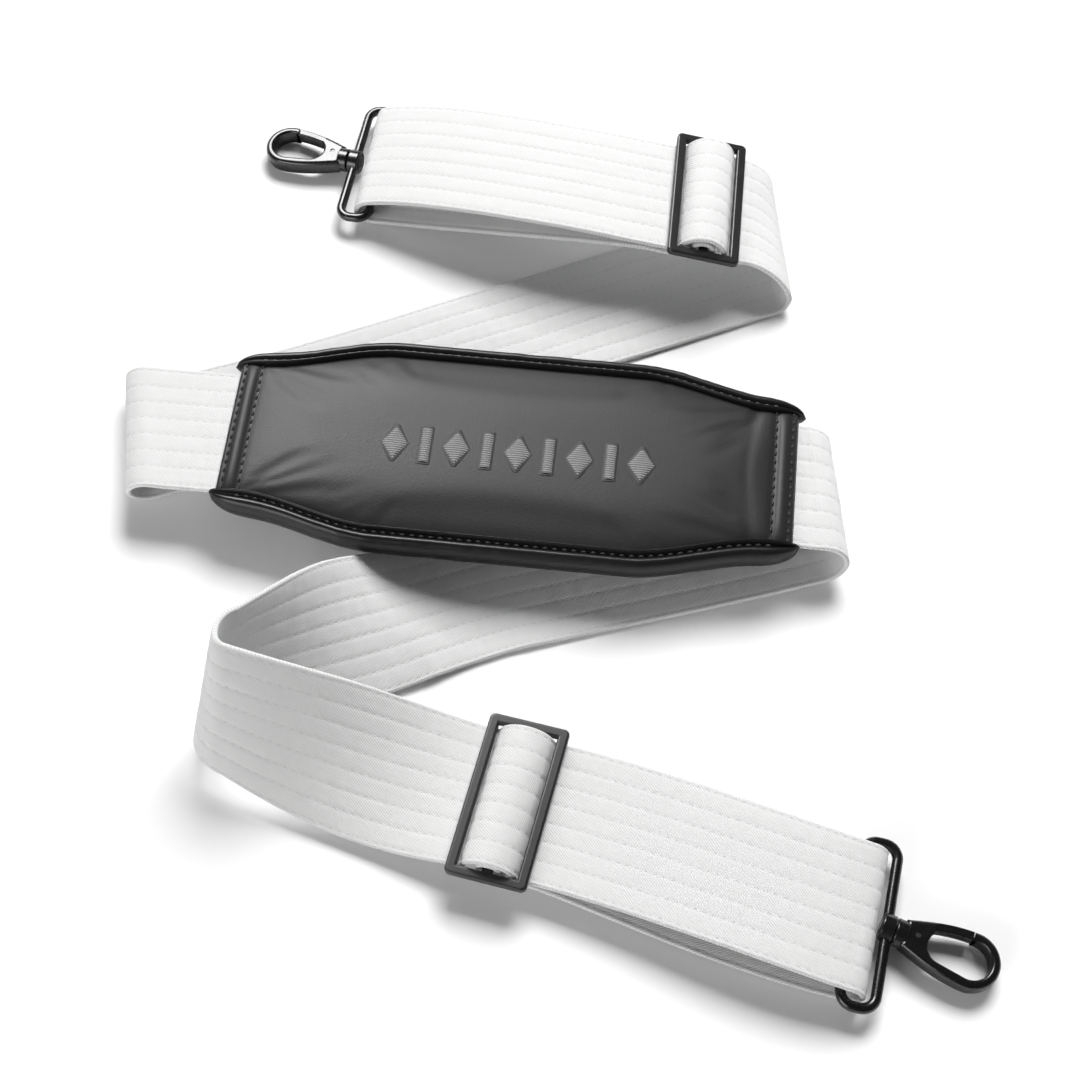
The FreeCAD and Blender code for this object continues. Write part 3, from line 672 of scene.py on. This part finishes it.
def leather_material(name, dark, light, rough, shine, grain=1.0):
    """Black leatherette: fine pebbled grain with a soft sheen."""
    n = Nodes(name, dark, rough)
    n.shader.inputs["Specular IOR Level"].default_value = shine
    place = n.coords("Object")
    cells = n.voronoi(place, 2100.0, "SMOOTH_F1")
    wrinkle = n.noise(place, 850.0, 4.0, 0.6)
    broad = n.noise(place, 18.0, 3.0)
    dust = n.noise(place, 2600.0, 2.0)
    tone = n.math("MULTIPLY_ADD", dust, 0.5, n.between(broad, 0.0, 0.6))
    color = n.blend(tone, dark, light)
    height = n.math("MULTIPLY_ADD", wrinkle, 0.8, cells)
    normal = n.bump(height, 0.22 * grain, 0.00015)
    roughness = n.math("MULTIPLY_ADD", dust, 0.08, n.between(broad, rough - 0.05, rough + 0.08))
    return n.finish(color, roughness, normal)


def thread_material(name, dark, light, pitch):
    """Satin stitch: parallel threads along the UV's first axis, pitch apart."""
    n = Nodes(name, dark, 0.5, Sheen_Weight=0.3, Sheen_Roughness=0.35)
    uv = n.coords("UV")
    across = n.split(uv)[1]
    jitter = n.noise(uv, 1200.0, 2.0)
    phase = n.math("MULTIPLY", across, 2 * math.pi / pitch)
    phase = n.math("MULTIPLY_ADD", jitter, 1.8, phase)
    strand = n.math("MULTIPLY_ADD", n.math("SINE", phase), 0.5, 0.5)
    # Painted highlight and painted shade: each thread's crown is painted lighter and the dip between
    # threads darker, following the bump's stripes.
    color = n.blend(strand, dark, light)
    normal = n.bump(strand, 0.8, 0.0002)
    return n.finish(color, n.between(jitter, 0.4, 0.62), normal)


def plain_thread_material(name, dark, light):
    """Sewing thread with a little fuzz."""
    n = Nodes(name, dark, 0.6)
    place = n.coords("Object")
    fuzz = n.noise(place, 5200.0, 3.0)
    return n.finish(n.blend(fuzz, dark, light), n.between(fuzz, 0.5, 0.7), n.bump(fuzz, 0.5, 0.0001))


def metal_material(name, dark, light, rough, worn=0.3):
    """Black painted metal: fine orange peel, patchy gloss and rubbed specks in patches."""
    n = Nodes(name, dark, rough, Metallic=0.0, Coat_Weight=0.25, Coat_Roughness=0.2)
    place = n.coords("Object")
    peel = n.noise(place, 900.0, 3.0)
    patch = n.noise(place, 120.0, 4.0, 0.6)
    speck = n.noise(place, 4200.0, 2.0)
    rub = n.math("MULTIPLY", n.between(patch, 0.0, worn), speck)
    color = n.blend(rub, dark, light)
    roughness = n.math("MULTIPLY_ADD", speck, 0.06, n.between(patch, rough - 0.06, rough + 0.1))
    return n.finish(color, roughness, n.bump(peel, 0.12, 0.0002))


def floor_material():
    """Pale and nearly plain, with a glow that grows away from the strap."""
    n = Nodes("pale_floor", grey(0.93), 0.9)
    n.shader.inputs["Specular IOR Level"].default_value = 0.1
    place = n.coords("Object")
    away = n.node("ShaderNodeVectorMath", operation="LENGTH")
    n.link(place, away.inputs[0])
    glow = n.node("ShaderNodeMapRange", interpolation_type="SMOOTHSTEP")
    n.link(away.outputs["Value"], glow.inputs["Value"])
    glow.inputs["From Min"].default_value = GLOW_START
    glow.inputs["From Max"].default_value = GLOW_FULL
    glow.inputs["To Max"].default_value = BACKDROP
    n.shader.inputs["Emission Color"].default_value = (1, 1, 1, 1)
    n.link(glow.outputs["Result"], n.shader.inputs["Emission Strength"])
    grain = n.noise(place, 60.0, 2.0)
    return n.finish(n.blend(grain, grey(0.92), grey(0.94)))


# ---- pad -------------------------------------------------------------------
def pad_point(u, v, z):
    """A point in the pad's own frame as a working point."""
    x_dir, y_dir = pad_axes()
    origin = PAD_CENTRE + y_dir * PAD_OFFSET + UP * PAD_BASE
    return origin + x_dir * u + y_dir * v + UP * z


def pad_half(u):
    """Half width of the pad's outline."""
    share = 1 - smooth((abs(u) - OUTLINE_MIDDLE) / OUTLINE_TAPER)
    return PAD_END_HALF + (PAD_MID_HALF - PAD_END_HALF) * share


def cover_height(u, v, half):
    """Height of the top cover above the pad's base, before it is puffed."""
    reach = PAD_LENGTH / 2
    from_end = reach - abs(u)
    from_side = half - abs(v)
    side = 1 - math.exp(-max(0.0, from_side) / SIDE_RISE)
    end = 1 - math.exp(-max(0.0, from_end - END_ROWS[1]) / END_RISE)
    z = COVER_BORDER + CROWN * side * (CROWN_AT_ENDS + (1 - CROWN_AT_ENDS) * end)
    crease_place = BEND_PLACE + BEND_BOW * math.cos(v / 14)
    z -= bell(from_end - crease_place, BEND_HALF) * (BEND_RIGHT if u > 0 else BEND_LEFT)
    z += BAND_HEIGHT * bell(from_end - BAND_PLACE, BAND_HALF) * side
    for row in END_ROWS:
        z -= ROW_DENT * bell(from_end - row, ROW_DENT_HALF)
    return z


def make_cover(name, top, material):
    """One cover of the pad, tucked under its edges, puffed by a short cloth
    simulation between its seams."""
    reach = PAD_LENGTH / 2
    verts, pins, uvs = [], [], []
    for i in range(COVER_ROWS):
        t = 2 * i / (COVER_ROWS - 1) - 1
        u = reach * math.copysign(1 - (1 - abs(t)) ** 1.15, t)
        half = pad_half(u) - ROLL + COVER_TUCK
        from_end = reach - abs(u)
        lip = smooth(1 - from_end / LIP)
        for j in range(COVER_COLUMNS):
            v = half * (2 * j / (COVER_COLUMNS - 1) - 1)
            z = cover_height(u, v, half)
            z = z + (LIP_HEIGHT - z) * lip * lip
            verts.append(pad_point(u, v, z if top else PAD_THICK - z))
            seam = min(abs(from_end - row) for row in END_ROWS)
            border = min(half - abs(v), from_end)
            pins.append(1.0 if min(seam, border) < SEAM_HALF else 0.0)
            uvs.append((u * MM, v * MM))
    faces = grid_faces(COVER_ROWS, COVER_COLUMNS, flip=not top)
    obj = new_piece(name, verts, faces, material, uvs)
    turn_outward(obj, top)
    puff(obj, pins, PUFF_CAP * MM)
    thicken(obj, COVER_THICK * MM)
    return obj


def height_over(obj):
    """A function that gives the height of an object's top in millimetres, in
    the working frame, under a working point."""
    points = [v.co.copy() for v in obj.data.vertices]
    tree = BVHTree.FromPolygons(points, [p.vertices[:] for p in obj.data.polygons])

    def height(point):
        above = to_frame((point.x, point.y, 0)) + UP * 0.1
        return tree.ray_cast(above, -UP)[0].z / MM - SHIFT.z

    return height


def turn_outward(obj, up):
    """Flips the faces where the first one looks the wrong way."""
    if (obj.data.polygons[0].normal.z > 0) != up:
        obj.data.flip_normals()


def puff(obj, pins, cap):
    """A few frames of cloth with pressure, with a soft cap on each point's
    move, so that no point moves further than the cap."""
    start = np.array([v.co for v in obj.data.vertices])
    group = obj.vertex_groups.new(name="seams")
    for index, weight in enumerate(pins):
        if weight:
            group.add([index], weight, "REPLACE")
    cloth = obj.modifiers.new("puff", "CLOTH")
    settings = cloth.settings
    settings.quality = 4
    settings.mass = 0.15
    settings.tension_stiffness = 8
    settings.compression_stiffness = 8
    settings.bending_stiffness = 0.8
    settings.use_pressure = True
    settings.uniform_pressure_force = PUFF_PRESSURE
    settings.effector_weights.gravity = 0
    settings.vertex_group_mass = "seams"
    cloth.point_cache.frame_start = 1
    cloth.point_cache.frame_end = PUFF_FRAMES
    scene = bpy.context.scene
    for number in range(1, PUFF_FRAMES + 1):
        scene.frame_set(number)
    graph = bpy.context.evaluated_depsgraph_get()
    done = obj.evaluated_get(graph).to_mesh()
    moved = np.array([v.co for v in done.vertices]) - start
    obj.evaluated_get(graph).to_mesh_clear()
    obj.modifiers.remove(cloth)
    scene.frame_set(1)
    length = np.maximum(np.linalg.norm(moved, axis=1, keepdims=True), 1e-9)
    moved *= cap * np.tanh(length / cap) / length
    obj.data.vertices.foreach_set("co", (start + moved).ravel())
    obj.data.update()


def thicken(obj, depth):
    """Gives a sheet its thickness, applied to the mesh."""
    solid = obj.modifiers.new("thickness", "SOLIDIFY")
    solid.thickness = depth
    solid.offset = -1
    bake(obj)


def bake(obj):
    """Applies every modifier of an object to its mesh."""
    graph = bpy.context.evaluated_depsgraph_get()
    mesh = bpy.data.meshes.new_from_object(obj.evaluated_get(graph))
    obj.modifiers.clear()
    obj.data = mesh


def roll_profile():
    """The rolled edge's outline: (inward from the outer edge, height)."""
    points = [(6.9, 1.4), (5.6, 0.5), (3.6, 0.1), (1.7, 1.0), (0.5, 3.0), (0.0, 5.6)]
    points += [(0.1, 8.2), (0.7, 10.0), (1.5, 11.1), (2.5, 11.6), (3.4, 11.4), (4.2, 10.8)]
    points += [(4.7, 10.3), (5.05, 10.4), (5.35, 11.2), (5.65, 12.3), (6.0, 12.9), (6.35, 12.6)]
    points += [(6.7, 11.4), (7.1, 9.8), (7.1, 6.0)]
    return points


def roll_path():
    """Along one long edge: (u, half width, end share)."""
    reach = PAD_LENGTH / 2 + ROLL_REACH
    count = int(2 * reach / ROLL_STEP)
    rows = []
    for i in range(count + 1):
        u = -reach + 2 * reach * i / count
        t = max(0.0, (abs(u) - (reach - ROLL_TAPER)) / ROLL_TAPER)
        rows.append((u, pad_half(u), t))
    return rows


def make_roll(name, side, material):
    """The pad's rolled edge, which closes to a tip at both ends."""
    verts, uvs = [], []
    profile = roll_profile()
    inner = ROLL + 0.1
    rows = roll_path()
    for u, half, t in rows:
        shrink = max(TIP_SHARE, math.sqrt(max(0.0, 1 - t**2.6)))
        narrow = max(TIP_SHARE, (1 - t * t) ** 0.55)
        swell = 0.14 * wobble(u / 9, side * 4.0, 1.0) + 0.1 * wobble(u / 3.2, side * 9.0, 2.0)
        for k, (w, z) in enumerate(profile):
            bulge = swell * (1 if k < ROLL_POINTS else 0.2)
            width = inner - (inner - w + bulge) * narrow
            height = ROLL_MIDDLE + (z - ROLL_MIDDLE) * shrink + bulge * 0.5
            verts.append(pad_point(u, side * (half - width), height))
            uvs.append((u * MM, k * MM))
    return new_piece(name, verts, tube_faces(len(rows), len(profile)), material, uvs)


def unit_stitch():
    """A short bent thread: rings of a capsule that dips at both ends."""
    rings = 7
    spokes = 6
    verts = []
    for i in range(rings):
        t = i / (rings - 1) * 2 - 1
        radius = math.sqrt(max(0.0, 1 - abs(t) ** 3)) * 0.96 + 0.04
        for k in range(spokes):
            a = 2 * math.pi * k / spokes
            verts.append((t, radius * math.cos(a), radius * math.sin(a) - 1.6 * t * t))
    return np.array(verts), tube_faces(rings, spokes)


def make_stitches(name, places, size, material):
    """One mesh of stitches, each at (point, direction, normal)."""
    _, length, radius = size
    shape, quads = unit_stitch()
    verts, faces = [], []
    for point, direction, normal in places:
        side = normal.cross(direction).normalized()
        axes = np.array([direction * (length / 2), side * radius, normal * radius])
        base = len(verts)
        verts.extend((shape @ axes + np.array(point)).tolist())
        faces.extend(tuple(base + k for k in quad) for quad in quads)
    return new_piece(name, verts, faces, material)


def roll_stitches(side):
    """Stitches in the groove between the roll and its piping."""
    places = []
    reach = PAD_LENGTH / 2 + ROLL_REACH - 0.7 * ROLL_TAPER
    count = int(2 * reach / ROLL_STITCH[0])
    for i in range(count + 1):
        u = -reach + 2 * reach * i / count
        slope = (pad_half(u + 1) - pad_half(u - 1)) / 2 * side
        point = pad_point(u, side * (pad_half(u) - SEAM_INSET), SEAM_HEIGHT)
        direction = (pad_point(u + 1, slope, 0) - pad_point(u, 0, 0)).normalized()
        places.append((point, direction, UP.copy()))
    return places


def end_stitches(height):
    """The two cross rows at each end of the top cover."""
    places = []
    across = pad_axes()[1]
    for side in (-1, 1):
        for row in END_ROWS:
            u = side * (PAD_LENGTH / 2 - row)
            half = pad_half(u) - ROLL - 0.6
            count = int(2 * half / END_STITCH[0])
            for i in range(count + 1):
                v = -half + 2 * half * i / count
                point = pad_point(u, v, 0)
                point.z = height(point) + STITCH_LIFT
                places.append((point, across.copy(), UP.copy()))
    return places


def make_motif(name, material, height, grow, rise):
    """Satin-stitched lozenges with upright bars between them, sewn on the
    cover, grown outward and puffed up by rise."""
    verts, faces, uvs = [], [], []
    for i in range(MOTIF_COUNT):
        u0 = MOTIF_PLACE[0] + (i - (MOTIF_COUNT - 1) / 2) * MOTIF_PITCH
        base = len(verts)
        for a in range(MOTIF_STEPS + 1):
            t = 2 * a / MOTIF_STEPS - 1
            half_u = LOZENGE_HALF * (1 - abs(t)) + LOZENGE_TIP if i % 2 == 0 else BAR_HALF
            half_u += grow
            v = (MOTIF_HALF_HEIGHT + grow) * t
            for b in range(MOTIF_COLUMNS):
                q = 2 * b / (MOTIF_COLUMNS - 1) - 1
                puff_up = rise * math.sqrt(max(0.0, 1 - q * q)) * min(1.0, half_u / 1.5)
                wave = 0.05 * wobble(a * 0.9, b * 0.7, i * 3.0)
                point = pad_point(u0 + q * (half_u + wave), MOTIF_PLACE[1] + v, 0)
                point.z = height(point) - MOTIF_SINK + puff_up + wave
                verts.append(point)
                uvs.append((q * half_u * MM, v * MM))
        quads = grid_faces(MOTIF_STEPS + 1, MOTIF_COLUMNS)
        faces.extend(tuple(base + k for k in quad) for quad in quads)
    obj = new_piece(name, verts, faces, material, uvs)
    turn_outward(obj, True)
    return obj


# ---- assembly --------------------------------------------------------------
def web_pieces(prefix, run, side, seed, material):
    """One webbing, cut where it crosses its slider's joint. Its lay rides the strap,
    its rise and front stay where they are made, and arch and tail ride the slider."""
    strip = make_webbing(run, side)
    marks = strip.marks
    last = len(strip.sections) - 1
    slider = prefix + "_slider"
    _, travel, _ = slider_frame(run)
    seam = (SEWN_LENGTH + run["seam"],)
    lay = web_piece(prefix + "_web_lay", strip, 0, marks["under_end"], seed, material, seam)
    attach(lay, "strap")
    rise = web_piece(prefix + "_web_rise", strip, marks["under_end"], marks["slider_in"], seed, material)
    axis, first, full = run["rise"]
    axis = Vector(axis) if axis else travel
    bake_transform(rise)
    arch = web_piece(prefix + "_web_arch", strip, marks["slider_in"], marks["slider_out"], seed, material)
    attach(arch, slider)
    front = web_piece(prefix + "_web_front", strip, marks["slider_out"], marks["return_in"], seed, material)
    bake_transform(front)
    tail = web_piece(prefix + "_web_tail", strip, marks["return_in"], last, seed, material)
    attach(tail, slider)
    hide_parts(prefix + "_webbing")


def paint_hardware(paints):
    """Gives each CAD node that stays its material."""
    for name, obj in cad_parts.items():
        for ending, material in paints.items():
            if name.endswith(ending):
                for holder in obj.material_slots:
                    holder.material = material


def make_floor():
    bpy.ops.mesh.primitive_plane_add(size=FLOOR_SIZE, location=(0, 0, -FLOOR_DROP))
    floor = bpy.context.object
    floor.name = "floor"
    floor.data.materials.append(floor_material())


def make_light(name, place, aim, size, watts):
    data = bpy.data.lights.new(name, "AREA")
    data.shape = "RECTANGLE"
    data.size, data.size_y = size
    data.energy = watts
    obj = bpy.data.objects.new(name, data)
    obj.location = place
    obj.rotation_euler = (Vector(aim) - Vector(place)).to_track_quat("-Z", "Y").to_euler()
    bpy.context.scene.collection.objects.link(obj)
    return obj


def make_camera():
    """At the photograph's viewing angle, looking along +Y and down."""
    elevation = math.radians(CAMERA_ELEVATION)
    aim = to_frame((0, 0, 0))
    back = Vector((0, -math.cos(elevation), math.sin(elevation)))
    data = bpy.data.cameras.new("camera")
    data.sensor_width = SENSOR_WIDTH
    data.lens = CAMERA_LENS
    obj = bpy.data.objects.new("camera", data)
    obj.location = aim + back * CAMERA_DISTANCE
    obj.rotation_euler = (-back).to_track_quat("-Z", "Y").to_euler()
    bpy.context.scene.collection.objects.link(obj)
    bpy.context.scene.camera = obj


def make_world():
    """A dim white sky with a bright horizon."""
    world = bpy.data.worlds.new("studio")
    world.use_nodes = True
    sky = world.node_tree.nodes["Background"]
    sky.inputs[0].default_value = (1, 1, 1, 1)
    tree = world.node_tree
    split = tree.nodes.new("ShaderNodeSeparateXYZ")
    tree.links.new(tree.nodes.new("ShaderNodeTexCoord").outputs["Generated"], split.inputs[0])
    fade = tree.nodes.new("ShaderNodeMapRange")
    tree.links.new(split.outputs[2], fade.inputs["Value"])
    fade.inputs["From Min"].default_value = HORIZON[0]
    fade.inputs["From Max"].default_value = HORIZON[1]
    fade.inputs["To Min"].default_value = BACKDROP
    fade.inputs["To Max"].default_value = SKY
    tree.links.new(fade.outputs["Result"], sky.inputs[1])
    bpy.context.scene.world = world


make_camera()
make_world()
make_floor()

# Places and sizes in metres, power in watts. The key light casts the shadows
# and the gloss light gives the sheen, as the photograph shows them on
# different sides; the fill light is dimmer.
key = make_light("key", (0.37, 1.1, 1.4), (0, -0.03, 0), (1.1, 0.8), 48)
key.visible_glossy = False
shine = make_light("gloss", (-0.46, 1.1, 1.3), (0, 0, 0), (0.95, 0.75), 46)
shine.visible_diffuse = False
make_light("fill", (-0.95, -1.0, 0.55), (0, 0, 0), (1.0, 0.7), 11)
bpy.context.scene.view_settings.view_transform = "Standard"

white = webbing_material()
cover_black = leather_material(
    "leatherette", (0.008, 0.008, 0.0085), (0.024, 0.024, 0.025), rough=0.38, shine=0.26
)
roll_black = leather_material(
    "leatherette_roll", grey(0.004), grey(0.012), rough=0.26, shine=0.34, grain=0.6
)
satin = thread_material("satin_thread", grey(0.07), (0.27, 0.27, 0.272), SATIN_PITCH)
seam_thread = plain_thread_material("seam_thread", grey(0.03), grey(0.11))
black_thread = plain_thread_material("black_thread", grey(0.008), grey(0.03))

web_pieces("upper", UPPER_RUN, -1, 3.0, white)
web_pieces("lower", LOWER_RUN, 1, 11.0, white)

top_cover = make_cover("pad_top", True, cover_black)
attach(top_cover, "strap")
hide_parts("pad_top_cover", "pad_foam_core")
base_cover = make_cover("pad_base", False, cover_black)
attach(base_cover, "strap")
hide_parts("pad_bottom_cover")

for edge, toward in (("front", -1), ("back", 1)):
    roll = make_roll("pad_roll_" + edge, toward, roll_black)
    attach(roll, "strap")
    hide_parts("edge_binding_" + edge)
    seam = make_stitches("roll_stitches_" + edge, roll_stitches(toward), ROLL_STITCH, seam_thread)
    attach(seam, "strap")

cover_top = height_over(top_cover)
cross = make_stitches("end_stitches", end_stitches(cover_top), END_STITCH, black_thread)
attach(cross, "strap")

motif = make_motif("motif", satin, cover_top, grow=0.0, rise=0.8)
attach(motif, "strap")
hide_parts("pad_motif")
outline = make_motif("motif_outline", black_thread, cover_top, grow=0.8, rise=0.4)
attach(outline, "strap")

enamel = metal_material("black_enamel", grey(0.002), grey(0.012), rough=0.22)
gunmetal = metal_material("gunmetal_paint", grey(0.005), grey(0.035), rough=0.34, worn=0.5)
steel = metal_material("dark_steel", grey(0.02), grey(0.12), rough=0.3, worn=0.6)
paint_hardware({
    "_slide_adjuster": gunmetal,
    "_ring": enamel,
    "_hook_body": enamel,
    "_hook_gate": enamel,
    "_swivel_stem": enamel,
    "_gate_pin": steel,
    "_gate_spring": steel,
})
